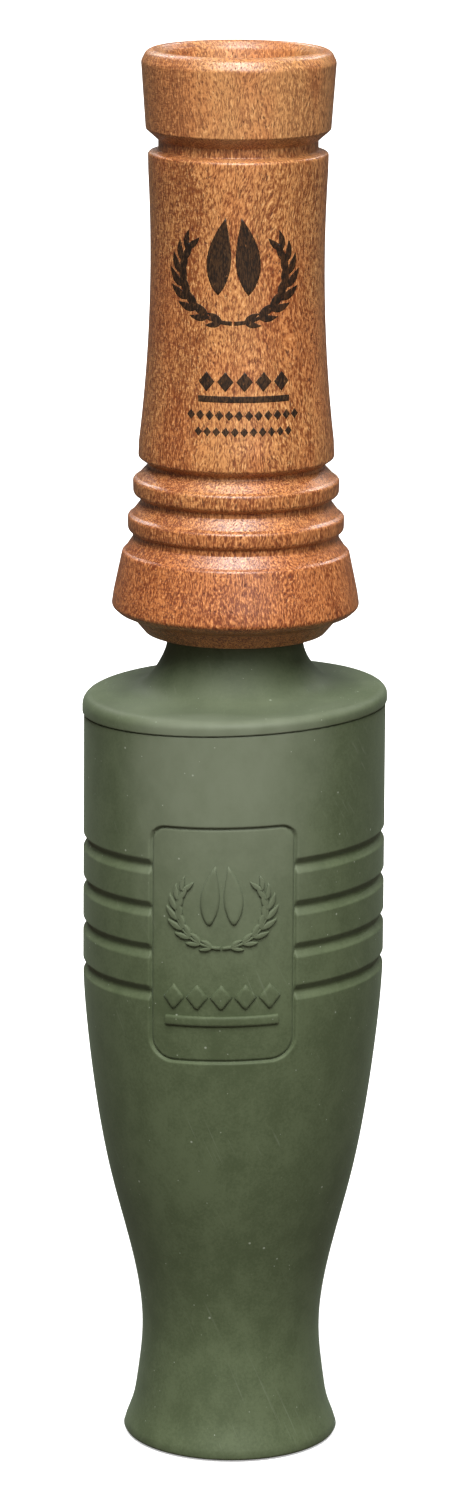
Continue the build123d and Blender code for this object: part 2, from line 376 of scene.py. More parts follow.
def wood_colour(look, settings):
    """Colour, light fleck and pores of a fine-flecked red-brown hardwood. Short golden flecks
    and dark pores are noise drawn out along a grain that wanders a little on its way up; on the
    left the rays show as short level dashes. The foot is redder and the head paler."""
    lean = look.noise((9, 9, 24), detail=2) - 0.5
    sway = look.node("ShaderNodeCombineXYZ", None, {0: lean * 7.0, 1: lean * 3.0})
    fleck = look.noise((0.22, 0.22, 0.8), detail=2, roughness=0.6, warp=sway)
    streak = look.noise((0.5, 0.5, 7), detail=2, warp=sway)
    rings = look.noise((22, 2.1, 120), detail=3, roughness=0.55, warp=sway)
    cloud = look.noise((7, 7, 15), detail=3)
    rays = look.noise((0.75, 0.75, 0.24), detail=2, roughness=0.6)
    side = look.ramp(look.place(0) + cloud * 9.0, 3.0, -4.5)
    light = look.ramp(fleck * 0.66 + streak * 0.18 + rings * 0.16, 0.41, 0.58)
    base = look.mix(light, settings.wood_dark, settings.wood_light)
    glint = look.ramp(fleck, 0.60, 0.72)
    base = look.mix(glint * 0.7, base, settings.wood_gold)
    base = look.mix(look.ramp(look.place(2), 196.0, 203.0) * 0.14, base, settings.wood_gold)
    foot = look.ramp(look.place(2) + cloud * 6.0, 158.0, 138.0)
    red = look.math("MAXIMUM", look.ramp(cloud, 0.40, 0.66) * 0.6, foot * 0.85)
    base = look.mix(red, base, settings.wood_red, blend="MULTIPLY")
    base = look.mix(look.ramp(rays, 0.50, 0.64) * side * 0.7, base, settings.wood_ray)
    pores = look.ramp(look.noise((0.17, 0.17, 0.95), detail=2, roughness=0.6, warp=sway), 0.585, 0.68)
    base = look.mix(pores * 0.72, base, settings.wood_pore)
    return base, light, pores


def wood_look(settings):
    """The turned hardwood under a thin satin lacquer, thinner in the pores and dulled in patches
    by handling."""
    look = Look("turned_wood")
    base, light, pores = wood_colour(look, settings)
    handled = look.ramp(look.noise((2.5, 2.5, 2.5), detail=2), 0.3, 0.8)
    look.set(
        base_color=base,
        roughness=0.38 + pores * 0.3 + handled * 0.08 - light * 0.05,
        specular_ior_level=0.4,
        coat_weight=0.5 - pores * 0.45,
        coat_roughness=0.36,
    )
    look.bump(light * 0.4 - pores, 0.7, 0.07)
    return look.material


def ink_look(settings):
    """Black printing ink on the lacquered wood, worn a little thin in patches and over the fleck."""
    look = Look("print_ink")
    base, light, pores = wood_colour(look, settings)
    worn = look.ramp(look.noise((0.4, 0.4, 0.7), detail=3, roughness=0.7), 0.6, 0.72)
    cover = 1 - look.math("MAXIMUM", worn * 0.4, light * 0.07)
    look.set(
        base_color=look.mix(cover, base, settings.ink),
        roughness=0.5 + pores * 0.2,
        specular_ior_level=0.2,
    )
    look.bump(light * 0.35 - pores, 0.4, 0.05)
    return look.material


def rubber_look(settings):
    """Moulded olive rubber: matte and faintly mottled, with a painted highlight on the front that grows
    towards the top of the bell and lies on the front of the cap's top too, pale dust specks, and long light
    scuffs."""
    look = Look("moulded_rubber")
    mottle = look.noise((3.4, 3.4, 4.6), detail=4, roughness=0.6)
    cloud = look.noise((16, 16, 24), detail=2)
    grain = look.noise((0.45, 0.45, 0.45), detail=3, roughness=0.7)
    tone = look.ramp(mottle * 0.4 + cloud * 0.25 + grain * 0.35, 0.38, 0.62)
    base = look.mix(tone, settings.rubber_dark, settings.rubber_light)
    # Painted highlight: a mask on the front of the bell, rising towards its top, and on the front of the
    # cap's top, varied by the mottle
    front = look.ramp(look.place(1) + cloud * 6.0, -12.0, -19.5) * 0.92 + 0.08
    high = look.ramp(look.place(2), 114.0, 117.0) * look.ramp(look.place(1), -4.0, -15.0) * 0.4
    rise = look.ramp(look.place(2) + cloud * 16.0, 80.0, 118.0)
    painted_highlight = rise * look.math("MAXIMUM", front, high) * (0.65 + mottle * 0.5)
    # lays the painted highlight's pale colour over the rubber
    base = look.mix(painted_highlight, base, settings.rubber_painted_highlight)
    slant = look.node("ShaderNodeCombineXYZ", None, {0: look.place(2) * 0.42})
    scuff = look.ramp(look.noise((0.4, 3.0, 15), detail=3, roughness=0.6, warp=slant), 0.60, 0.74)
    scuff = scuff * look.ramp(look.noise((9, 9, 12), detail=1), 0.50, 0.64)
    base = look.mix(scuff * 0.5, base, settings.rubber_scuff)
    dust = look.spots(2.1, 0.17, 0.17) + look.spots(1.1, 0.09, 0.12)
    base = look.mix(dust * 0.5, base, settings.rubber_dust)
    look.set(
        base_color=base,
        roughness=0.54 + mottle * 0.14 - scuff * 0.06,
        specular_ior_level=0.2,
        sheen_weight=0.09,
        sheen_roughness=0.42,
        sheen_tint=(0.72, 0.92, 0.72),
    )
    look.bump(grain * 0.6 + mottle * 0.4 + dust * 0.6, 0.35, 0.05)
    return look.material


def sleeve_look():
    """Satin black moulded plastic with fine flow marks."""
    look = Look("sleeve_plastic")
    flow = look.noise((1.2, 1.2, 6), detail=4, roughness=0.6)
    grain = look.noise((0.12, 0.12, 0.12), detail=2)
    look.set(
        base_color=look.mix(flow, (0.010, 0.010, 0.011), (0.024, 0.024, 0.025)),
        roughness=0.3 + flow * 0.18,
        specular_ior_level=0.5,
    )
    look.bump(grain, 0.25, 0.02)
    return look.material


def seal_look():
    """Nitrile O-ring: dull black with the shine of a trace of grease."""
    look = Look("seal_rubber")
    grease = look.ramp(look.noise((1.8, 1.8, 0.8), detail=3), 0.4, 0.7)
    look.set(
        base_color=look.mix(grease, (0.016, 0.016, 0.017), (0.008, 0.008, 0.009)),
        roughness=0.58 - grease * 0.3,
    )
    look.bump(look.noise((0.1, 0.1, 0.1), detail=2), 0.2, 0.02)
    return look.material


def tone_board_look():
    """Ivory moulded plastic, a little translucent, with fine polishing lines along it."""
    look = Look("tone_board_plastic")
    cloud = look.noise((4, 4, 9), detail=3)
    lines = look.noise((0.12, 0.12, 7), detail=2)
    look.set(
        base_color=look.mix(cloud, (0.62, 0.53, 0.36), (0.78, 0.71, 0.53)),
        roughness=0.26 + lines * 0.16,
        subsurface_weight=0.15,
        subsurface_scale=0.003,
    )
    look.bump(lines, 0.15, 0.02)
    return look.material


def reed_look():
    """Frosted polyester film, lapped along its length."""
    look = Look("reed_film")
    lap = look.noise((0.08, 1, 6), detail=2)
    haze = look.noise((2, 2, 5), detail=3)
    look.set(
        base_color=look.mix(haze, (0.72, 0.78, 0.78), (0.88, 0.92, 0.92)),
        roughness=0.22 + lap * 0.2,
        alpha=0.55 + haze * 0.2,
        specular_ior_level=0.6,
    )
    look.bump(lap, 0.2, 0.01)
    return look.material


def cork_look():
    """Cut cork: tan grains with brown joints and a few dark pits."""
    look = Look("wedge_cork")
    spacing = 1 / 0.9
    joint = look.cells(spacing, "DISTANCE_TO_EDGE")
    body = look.mix(look.drawn(spacing), (0.34, 0.19, 0.085), (0.56, 0.36, 0.19))
    edge = 1 - look.ramp(joint, 0.0, 0.14)
    pits = look.ramp(look.noise((0.5, 0.5, 0.7), detail=3), 0.62, 0.7)
    body = look.mix(edge * 0.6, body, (0.16, 0.075, 0.03))
    look.set(
        base_color=look.mix(pits * 0.8, body, (0.06, 0.028, 0.012)),
        roughness=0.8,
        specular_ior_level=0.3,
    )
    look.bump(0 - edge - pits * 1.5, 0.6, 0.12)
    return look.material


# ---------------------------------------------------------------- barrel outline

CUP_R = 11.0
CUP_Z = 209.6


def ribs_outline(bottom_z):
    """Foot, two ribs and the start of the waist, from the foot's underside up. The slope above
    the foot and above each rib starts flatter, so that its lower edge stands out as a fine line."""
    return [
        # the foot's underside and flare
        (10.3, bottom_z), (13.45, bottom_z, 0.35), (15.42, 128.1, 0.8), (17.55, 129.0, 0.6),
        (18.5, 129.85, 0.8), (18.2, 131.9, 3.0), (16.92, 137.95, 0.6), (16.48, 138.3, 0.3),
        # the lower rib
        (15.35, 139.99, 0.25), (15.35, 140.9, 0.3), (16.09, 141.25, 0.8), (16.13, 143.35, 0.6),
        (15.45, 143.78, 0.3), (14.24, 145.38, 0.25),
        # the upper rib
        (14.24, 146.15, 0.3), (15.3, 146.72, 0.8), (15.36, 148.88, 0.6), (14.72, 149.22, 0.3),
        (13.16, 150.88, 0.2),
        # the waist's lower edge
        (13.16, 151.3, 0.2), (14.56, 152.27, 0.5), (14.48, 154.6),
    ]


def head_outline(top_z):
    """Top of the waist, lanyard groove and head, up and over the broad soft rim into the cup."""
    return [
        # the groove for a lanyard
        (13.22, 194.6), (13.28, 197.43, 0.5), (11.77, 197.87, 0.2), (11.77, 199.26, 0.2),
        (13.62, 200.89, 0.4),
        # the head and its rim
        (14.32, 210.73, 1.2), (13.63, 212.14, 1.2), (12.8, top_z, 0.8), (12.2, top_z, 0.7),
        (11.35, 211.4, 1.5), (CUP_R, CUP_Z),
    ]


def waist(count):
    """The waist is one arc through its narrowest point."""
    return arc_through(ribs_outline(0)[-1], (12.86, 181.3), head_outline(0)[0], count)


def waist_radius(z):
    """Radius of the waist at a height: R - sqrt(R^2 - (z - middle)^2) out from its narrowest."""
    path = waist(240)
    return np.interp(z, path[:, 1], path[:, 0])


# ---------------------------------------------------------------- bell outline

BODY_R = 22.7
SEAM_R = 22.62
NECK_R = 10.05
CAP_R = 22.85
MOUTH_R = 16.4
TAPER_TOP_Z = 114.0           # where the body has drawn in to the seam's radius
PANEL_DEPTH = 0.3
PANEL_Z = (64.8, 100.8)
PANEL_HALF_WIDTH = 10.9
PANEL_ROUNDING = (3.6, 2.4)   # of the lower and the upper corners
GROOVE_COUNT = 4
GROOVE_TOP_Z = 94.45
GROOVE_PITCH = 6.45
GROOVE_HALF_WIDTH = 1.15
GROOVE_FLAT = 0.86            # the share of a full V at which its floor is cut flat
SKEW_GROWS_Z = (18, 62)       # the heights over which each part of the lean comes and goes
SKEW_FADES_Z = (117.5, 122.5)
SEAM_GROWS_Z = (104.5, 112.0)
SEAM_FADES_Z = (114.9, 117.0)
FLANK = [
    (16.38, 0.76),
    (14.98, 4.8),
    (14.42, 7.8),
    (13.56, 16.5),
    (15.26, 29.1),
    (18.42, 41.6),
    (20.55, 53.1),
    (22.08, 65.5),
    (BODY_R, 76.0),
]


def bell_radius(z):
    """Outer radius of the bell at a height: the flank's spline, and above it the body, which draws
    in very slightly towards the seam."""
    path = flowing(FLANK, (-0.25, 1), (0, 1), count=400)
    taper = (BODY_R - SEAM_R) * smooth_step(z, FLANK[-1][1], TAPER_TOP_Z)
    return np.interp(z, path[:, 1], path[:, 0]) - taper


def panel_radius(z):
    """Radius of the panel's floor at a height."""
    return bell_radius(z) - PANEL_DEPTH


def panel_edge_distance(x, z):
    """Distance in millimetres outside (+) or inside (-) the panel's rounded rectangle: the
    rectangle shrunk by the corner rounding, then grown by it again."""
    low, high = PANEL_Z
    corner = np.where(z > (low + high) / 2, PANEL_ROUNDING[1], PANEL_ROUNDING[0])
    dx = np.abs(x) - (PANEL_HALF_WIDTH - corner)
    dz = np.abs(z - (low + high) / 2) - ((high - low) / 2 - corner)
    outside = np.hypot(np.maximum(dx, 0), np.maximum(dz, 0))
    return outside + np.minimum(np.maximum(dx, dz), 0) - corner


def bell_sink(x, y, z, settings):
    """How deep the surface lies under the plain outline: the panel's floor on the front with a
    fine line cut just inside its edge, exp(-(distance / width)^2) across, and elsewhere V grooves
    with flat floors."""
    groove = 0 * z
    for step in range(GROOVE_COUNT):
        away = np.abs(z - (GROOVE_TOP_Z - GROOVE_PITCH * step))
        vee = np.clip(1 - away / GROOVE_HALF_WIDTH, 0, 1)
        groove = groove + settings.groove_depth * np.minimum(vee, GROOVE_FLAT) / GROOVE_FLAT
    edge = panel_edge_distance(x, z)
    in_panel = (1 - smooth_step(edge, -0.16, 0.10)) * (y < 0)
    line_depth, line_in, line_width = 0.3, 0.14, 0.2
    line = line_depth * np.exp(-((edge + line_in) / line_width) ** 2) * (y < 0)
    return PANEL_DEPTH * in_panel + groove * (1 - in_panel) + line


def leaned(points, settings):
    """The soft bell sits askew: its upper part and the cap rise by skew times x, growing in over
    the flank and fading out up the neck. The seam rises a little more, and at the front too."""
    x, y, z = points[..., 0], points[..., 1], points[..., 2]
    upper = smooth_step(z, *SKEW_GROWS_Z) * (1 - smooth_step(z, *SKEW_FADES_Z))
    seam = smooth_step(z, *SEAM_GROWS_Z) * (1 - smooth_step(z, *SEAM_FADES_Z))
    rise = settings.skew * x * upper + (settings.seam_skew * x - settings.seam_tilt * y) * seam
    return np.stack([x, y, z + rise], -1)


# ---------------------------------------------------------------- printed and raised mark


def stroke(path, half_widths, thickness, foot=0.4, across=9):
    """A stroke of a mark, as a closed tube of flattened section. path is (across, up), one row a
    step. The section's top is a superellipse, thickness times (1 - |u|^6)^(1/2) at u half widths
    from the middle, and its bottom lies the foot's share of the thickness under the surface. The
    top comes down in proportion where the stroke narrows to a point."""
    direction = np.gradient(path, axis=0)
    direction = direction / np.linalg.norm(direction, axis=1, keepdims=True)
    normal = np.stack([direction[:, 1], -direction[:, 0]], 1)
    u = np.cos(np.linspace(0, math.pi, across))
    wide = np.concatenate([u, u[::-1]])
    tall = np.concatenate([np.sqrt(1 - u**6), np.full(across, -foot)])
    flat = path[:, None, :] + normal[:, None, :] * (half_widths[:, None] * wide)[..., None]
    full_half, least = 0.12, 0.15
    body = np.clip(half_widths / full_half, least, 1)[:, None]
    lift = thickness * np.where(tall > -foot, tall * body, tall)
    return np.concatenate([flat, lift[..., None]], -1)


def leaf(root, heading, length, width, bend, count=18):
    """Centre line and half widths of a tapered blade: it leaves its root along the heading (in
    degrees from straight up) and bends steadily by the bend in radians. Its width goes as
    sin(pi t^0.8) at a share t of its length, so that it is widest a little nearer the root."""
    t = np.linspace(0, 1, count)
    angle = np.radians(heading) + bend * t
    step = length / (count - 1)
    walk = np.stack([np.sin(angle), np.cos(angle)], 1) * step
    path = np.array(root, float) + np.concatenate([[[0, 0]], np.cumsum(walk[1:], axis=0)])
    half = width / 2 * np.sin(np.pi * t**0.8) + 0.015
    return path, half


def bar(left, right, up, height):
    """Centre line and half widths of a plain straight bar with square ends."""
    inner = np.linspace(left + 0.1, right - 0.1, 30)
    across = np.concatenate([[left, left + 0.02], inner, [right - 0.02, right]])
    half = np.full(len(across), height / 2)
    half[[0, -1]] *= 0.9
    return np.stack([across, np.full(len(across), up)], 1), half


def mark_strokes(middle, scale):
    """A cloven track between two sprays of grass: (path, half widths) of each stroke, about a
    middle point, in millimetres times the scale. A spray's stem is an arc of an ellipse, from the
    bottom round and up the side, and its blades leave it in pairs."""
    strokes = []
    stem_wide, stem_tall, stem_middle, stem_half = 8.1, 6.9, -2.2, 0.30
    pairs, splay, blade_long, blade_wide = 8, 34, 3.5, 1.15
    for side in (-1, 1):
        strokes.append(leaf((side * 2.15, -5.2), side * 3, length=11.0, width=3.5, bend=-side * 0.28))
        t = np.linspace(0.02, 2.2, 50)
        stem = np.stack([side * stem_wide * np.sin(t), stem_middle - stem_tall * np.cos(t)], 1)
        strokes.append((stem, stem_half * (1 - 0.3 * t)))
        for pair in range(pairs):
            at = 4 + pair * 6
            ahead = at if pair == pairs - 1 else at + 1
            run = stem[ahead] - stem[at - 1]
            heading = math.degrees(math.atan2(run[0], run[1]))
            size = 0.72 + 0.1 * min(pair, 3) - 0.07 * max(0, pair - 4)
            for flank in (-1, 1):
                turned_out = heading + flank * splay
                blade = leaf(stem[at], turned_out, blade_long * size, blade_wide * size, -flank * 0.45)
                strokes.append(blade)
    return [(path * scale + np.array(middle), half * scale) for path, half in strokes]


def diamonds(left, right, count, up, size):
    """A row of small lozenges: each is a short blade, widest half way."""
    t = np.linspace(0, 1, 9)
    for across in np.linspace(left, right, count):
        path = np.stack([np.full(len(t), across), up - size / 2 + size * t], 1)
        yield path, size * 0.42 * (1 - np.abs(2 * t - 1)) + 0.01


def wrapped(flat, turn, radius_of, rise):
    """Wraps a flat stroke round the axis: across becomes an angle at the surface's radius, and
    the lift, with the rise, goes outwards."""
    across, up, lift = flat[..., 0], flat[..., 1], flat[..., 2]
    radius = radius_of(up)
    angle = FRONT + turn + across / radius
    out = radius + rise + lift
    return np.stack([out * np.cos(angle), out * np.sin(angle), up], -1)


def mark_piece(name, strokes, turn, radius_of, thickness, rise=0.0, lean=None):
    """One mesh of all of a mark's strokes, wrapped round the axis, and leaned with the bell by
    the settings in lean."""
    parts = []
    for path, half in strokes:
        points = wrapped(stroke(path, half, thickness), turn, radius_of, rise)
        parts.append(grid_piece(name, leaned(points, lean) if lean else points, False, True, True))
    return joined(name, parts)


# ---------------------------------------------------------------- what a user would change


def colour(name, description, default):
    """A colour setting, as linear red, green and blue."""
    return FloatVectorProperty(name=name, description=description, subtype="COLOR", default=default)


class CallSettings(bpy.types.PropertyGroup):
    """Colours and small sizes of the call."""

    wood_light: colour("Fleck", "Light fleck of the hardwood", (0.56, 0.25, 0.085))
    wood_gold: colour("Gold", "Brightest golden fleck", (0.86, 0.50, 0.22))
    wood_dark: colour("Ground", "Red-brown ground of the hardwood", (0.19, 0.052, 0.013))
    wood_red: colour("Red cloud", "Tint of the redder patches", (0.92, 0.70, 0.62))
    wood_ray: colour("Ray", "Short red dashes of the rays", (0.15, 0.034, 0.014))
    wood_pore: colour("Pore", "Dark line of an open pore", (0.055, 0.014, 0.006))
    ink: colour("Ink", "Printed mark on the barrel", (0.014, 0.009, 0.006))
    rubber_light: colour("Rubber light", "Lighter mottle", (0.078, 0.098, 0.050))
    rubber_dark: colour("Rubber dark", "Darker mottle", (0.055, 0.071, 0.034))
    # colour of the painted highlight on the bell's upper front and the front of the cap's top
    rubber_painted_highlight: colour("Bloom", "Dusty bloom near the bell's top", (0.132, 0.151, 0.101))
    rubber_scuff: colour("Scuff", "Light rubbed streaks", (0.12, 0.14, 0.09))
    rubber_dust: colour("Dust", "Pale specks", (0.36, 0.39, 0.31))
    skew: FloatProperty(
        name="Skew", description="Rise of the bell's top across its width",
        default=0.033, min=-0.05, max=0.05,
    )
    seam_skew: FloatProperty(
        name="Seam skew", description="Further rise of the seam across its width",
        default=0.013, min=-0.05, max=0.05,
    )
    seam_tilt: FloatProperty(
        name="Seam tilt", description="Rise of the seam towards the front",
        default=0.0142, min=-0.05, max=0.05,
    )
    groove_depth: FloatProperty(
        name="Groove depth", description="Depth of the bell's grooves, in millimetres",
        default=0.72, min=0.2, max=1.5,
    )
    relief: FloatProperty(
        name="Relief", description="Height of the raised mark, in millimetres",
        default=0.4, min=0.1, max=0.42,
    )
    ring_sides: IntProperty(
        name="Ring sides", description="Facets round a turned part", default=224, min=48, max=256
    )
    camera_turn: FloatProperty(
        name="Camera turn",
        description="How far the camera stands to the right of the call's front",
        subtype="ANGLE",
        default=math.radians(4.5),
    )
    camera_pitch: FloatProperty(
        name="Camera pitch", description="How far the camera looks down",
        subtype="ANGLE", default=math.radians(13.32),
    )
    camera_distance: FloatProperty(
        name="Camera distance", description="Level distance from the axis", unit="LENGTH", default=0.8179
    )
    camera_height: FloatProperty(
        name="Camera height", description="Height above the bell's mouth", unit="LENGTH", default=0.301
    )
    camera_roll: FloatProperty(
        name="Camera roll", description="Turn of the camera about its own view",
        subtype="ANGLE", default=math.radians(0.36),
    )


# ---------------------------------------------------------------- operators


class CALL_OT_barrel(bpy.types.Operator):
    """Turn the hardwood barrel"""

    bl_idname = "call.barrel"
    bl_label = "Barrel"

    def execute(self, context):
        settings = context.scene.grunt_call
        top_z = height_mm("barrel", 1)
        bottom_z = height_mm("barrel", 0)
        counterbore_z = height_mm("neck_cap", 1) + 1.65
        throat_r, mouth_r, bore_r, counterbore_r, foot_r = 5.5, 5.6, 7.95, 8.9, 10.0
        bore_top_z, throat_z, throat_top_z = 196.0, 197.4, 204.6
        outside = [
            densified(rounded(ribs_outline(bottom_z)), 0.8),
            densified(waist(60)[1:-1], 0.8),
            densified(rounded(head_outline(top_z)), 0.7),
            arc_through((CUP_R, CUP_Z), (9.6, 206.5), (mouth_r, throat_top_z), 26)[1:],
        ]
        inside = rounded(
            [
                (mouth_r, throat_top_z),
                (throat_r, throat_top_z - 0.2, 0.1),
                (throat_r, throat_z, 0.1),
                (bore_r, bore_top_z, 0.2),
                (bore_r, counterbore_z + 0.02, 0.01),
                (counterbore_r, counterbore_z, 0.05),
                (counterbore_r, bottom_z, 0.1),
                (foot_r, bottom_z),
            ],
            arc_points=3,
        )
        foot = np.array([(foot_r, bottom_z)])
        path = distinct(np.concatenate(outside + [densified(inside, 3.0)[1:], foot])[:-1])
        piece = grid_piece("barrel_turning", turned(path, full_turn(settings.ring_sides)))
        dressed(piece, wood_look(settings), "barrel", "barrel")
        return {"FINISHED"}


class CALL_OT_print(bpy.types.Operator):
    """Print the mark on the barrel"""

    bl_idname = "call.print"
    bl_label = "Printed mark"

    def execute(self, context):
        settings = context.scene.grunt_call
        strokes = mark_strokes(middle=(-0.4, 183.5), scale=1.04)
        strokes.append(bar(-5.6, 8.3, up=162.95, height=0.95))
        strokes += diamonds(-4.3, 7.0, count=5, up=165.5, size=2.9)
        strokes += diamonds(-6.7, 9.3, count=12, up=160.6, size=1.5)
        strokes += diamonds(-5.5, 8.2, count=11, up=158.2, size=1.4)
        turn = math.radians(3.5)
        piece = mark_piece("printed_mark", strokes, turn, waist_radius, thickness=0.02, rise=0.004)
        dressed(piece, ink_look(settings), "barrel")
        return {"FINISHED"}


class CALL_OT_bell(bpy.types.Operator):
    """Mould the rubber bell"""

    bl_idname = "call.bell"
    bl_label = "Bell"

    def execute(self, context):
        settings = context.scene.grunt_call
        seam_z = height_mm("bell", 1)
        edge_z = seam_z - 0.6
        wall, waist_wall, mouth_wall = 3.0, 2.6, 2.3
        mouth_inner_r = MOUTH_R - mouth_wall
        # the steps are finest across the panel's foot, the grooves and the panel's top
        heights = runs(
            [0.8, 64.0, 69.6, 73.6, 96.0, 100.0, 101.8, edge_z],
            [1.1, 0.13, 0.6, 0.17, 0.45, 0.12, 1.0],
        )
        outer = np.stack([bell_radius(heights), heights], 1)
        lip = rounded([(14.5, 0), (14.65, 0, 0.3), (16.14, 0.33, 0.4), tuple(outer[0])], 4)[:-1]
        inner_r = BODY_R - wall
        rim = rounded([(SEAM_R, edge_z), (SEAM_R, seam_z, 0.3), (inner_r, seam_z, 0.1), (inner_r, 111)])[1:]
        inner_flank = [(FLANK[2][0] - waist_wall, FLANK[2][1])] + [(r - wall, z) for r, z in FLANK[3:]]
        chamber = flowing(inner_flank[::-1] + [(mouth_inner_r, 0.3)], (0, -1), (0.28, -1), count=40)
        mouth = np.array([(mouth_inner_r + 0.25, 0.0)])
        path = distinct(np.concatenate([lip, outer, densified(rim, 0.8), densified(chamber, 3.0), mouth]))
        # in degrees from the front, finest over the panel's two upright edges
        edge = math.degrees(math.asin(PANEL_HALF_WIDTH / BODY_R))
        outside, inside = edge + 1.5, edge - 10
        angles = runs([-outside, -inside, inside, outside, 360 - outside], [0.27, 1.6, 0.27, 2.2])[:-1]
        points = turned(path, FRONT + np.radians(angles))
        x, y, z = points[..., 0], points[..., 1], points[..., 2]
        shown = np.zeros(len(path), bool)
        shown[len(lip):len(lip) + len(outer)] = True
        sink = bell_sink(x, y, z, settings) * shown[:, None]
        share = (path[:, 0][:, None] - sink) / path[:, 0][:, None]
        points = np.stack([x * share, y * share, z], -1)
        piece = grid_piece("bell_moulding", leaned(points, settings))
        dressed(piece, self.rubber(settings), "bell", "bell")
        return {"FINISHED"}

    @staticmethod
    def rubber(settings):
        """The rubber is one material, shared by bell, cap and raised mark."""
        return bpy.data.materials.get("moulded_rubber") or rubber_look(settings)


class CALL_OT_relief(bpy.types.Operator):
    """Raise the moulded mark on the panel"""

    bl_idname = "call.relief"
    bl_label = "Raised mark"

    def execute(self, context):
        settings = context.scene.grunt_call
        strokes = mark_strokes(middle=(0, 90.3), scale=0.84)
        strokes += diamonds(-7.2, 7.2, count=5, up=75.0, size=4.0)
        strokes.append(bar(-8.5, 8.5, up=71.3, height=1.6))
        piece = mark_piece("raised_mark", strokes, 0, panel_radius, settings.relief, lean=settings)
        dressed(piece, CALL_OT_bell.rubber(settings), "bell")
        return {"FINISHED"}


class CALL_OT_cap(bpy.types.Operator):
    """Mould the rubber neck cap"""

    bl_idname = "call.cap"
    bl_label = "Neck cap"

    def execute(self, context):
        settings = context.scene.grunt_call
        top_z, bottom_z = height_mm("neck_cap", 1), height_mm("neck_cap", 0)
        base_z = height_mm("bell", 1) + 0.05
        plug_r, boss_r, bore_r = 19.62, 9.6, 6.55
        plug_inner_r = plug_r - 3.2
        boss_z, ceiling_z, neck_z = 108.0, 112.6, top_z - 0.35
        rim = rounded(
            [
                (plug_inner_r, bottom_z),
                (plug_r, bottom_z, 0.4),
                (plug_r, base_z, 0.2),
                (CAP_R, base_z, 0.22),
                (CAP_R, 116.8, 1.5),
                (19.2, 117.0, 8.0),
                (16.6, 117.28),
            ]
        )
        flare = flowing(
            [rim[-1], (13.9, 118.1), (11.75, 120.4), (10.82, 122.0), (10.27, 123.6), (NECK_R, neck_z)],
            (-1, 0.12),
            (-0.08, 1),
            count=48,
        )
        neck = rounded(
            [
                (NECK_R, neck_z),
                (NECK_R - 0.1, top_z, 0.2),
                (bore_r, top_z, 0.2),
                (bore_r, boss_z, 0.2),
                (boss_r, boss_z, 0.4),
                (boss_r, ceiling_z, 1.0),
                (plug_inner_r, ceiling_z, 1.0),
                (plug_inner_r, bottom_z, 0.3),
                (plug_inner_r + 0.5, bottom_z),
            ]
        )
        path = np.concatenate([densified(rim[1:], 0.6), flare[1:], densified(neck, 1.2)[1:]])
        piece = grid_piece("cap_moulding", leaned(turned(path, full_turn(settings.ring_sides)), settings))
        dressed(piece, CALL_OT_bell.rubber(settings), "neck_cap", "neck_cap")
        return {"FINISHED"}


class CALL_OT_insert(bpy.types.Operator):
    """Make the reed sleeve and its two O-rings"""

    bl_idname = "call.insert"
    bl_label = "Reed sleeve and seals"

    def execute(self, context):
        self.sleeve()
        look = seal_look()
        for node in ("o_ring_lower", "o_ring_upper"):
            self.ring(node, look)
        return {"FINISHED"}

    def sleeve(self):
        """A turned outline with a rounded edge at every corner and a groove for each O-ring."""
        low, high = height_mm("reed_sleeve", 0), height_mm("reed_sleeve", 1)
        spigot_r, collar_r, shank_r, groove_r, socket_r, air_r = 6.5, 8.8, 7.75, 6.4, 5.6, 4.6
        collar_z = height_mm("neck_cap", 1) + 0.05
        shank_z, socket_z, groove_half = collar_z + 1.5, 135.9, 1.1
        outside = [(air_r + 0.3, low), (spigot_r - 0.6, low, 0.2), (spigot_r, low + 1.2, 0.4),
                   (spigot_r, collar_z, 0.1), (collar_r, collar_z, 0.2), (collar_r, shank_z, 0.25),
                   (shank_r, shank_z, 0.1)]
        for node in ("o_ring_lower", "o_ring_upper"):
            middle = (height_mm(node, 0) + height_mm(node, 1)) / 2
            foot_z, top_z = middle - groove_half, middle + groove_half
            outside += [(shank_r, foot_z, 0.12), (groove_r, foot_z, 0.12),
                        (groove_r, top_z, 0.12), (shank_r, top_z, 0.12)]
        inside = [(shank_r, high - 0.8, 0.3), (shank_r - 0.5, high, 0.2), (socket_r, high, 0.15),
                  (socket_r, socket_z, 0.1), (air_r, socket_z, 0.15), (air_r, low, 0.15),
                  (air_r + 0.31, low)]
        path = densified(rounded(outside + inside, 5), 1.0)[:-1]
        piece = grid_piece("sleeve_moulding", turned(path, full_turn(128)))
        dressed(piece, sleeve_look(), "insert", "reed_sleeve")

    def ring(self, node, look):
        """A squeezed O-ring: a superellipse section, squarer than a circle, swept round the axis."""
        low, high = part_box(node)
        inner, outer = 6.42, high.x / MM
        middle, half_high = (low.z + high.z) / 2 / MM, (high.z - low.z) / 2 / MM
        angle = full_turn(28)
        r = (inner + outer) / 2 + (outer - inner) / 2 * squared(np.cos(angle), 0.6)
        z = middle + half_high * squared(np.sin(angle), 0.6)
        piece = grid_piece(node.replace("o_ring", "seal"), turned(np.stack([r, z], 1), full_turn(160)))
        dressed(piece, look, "seals", node)


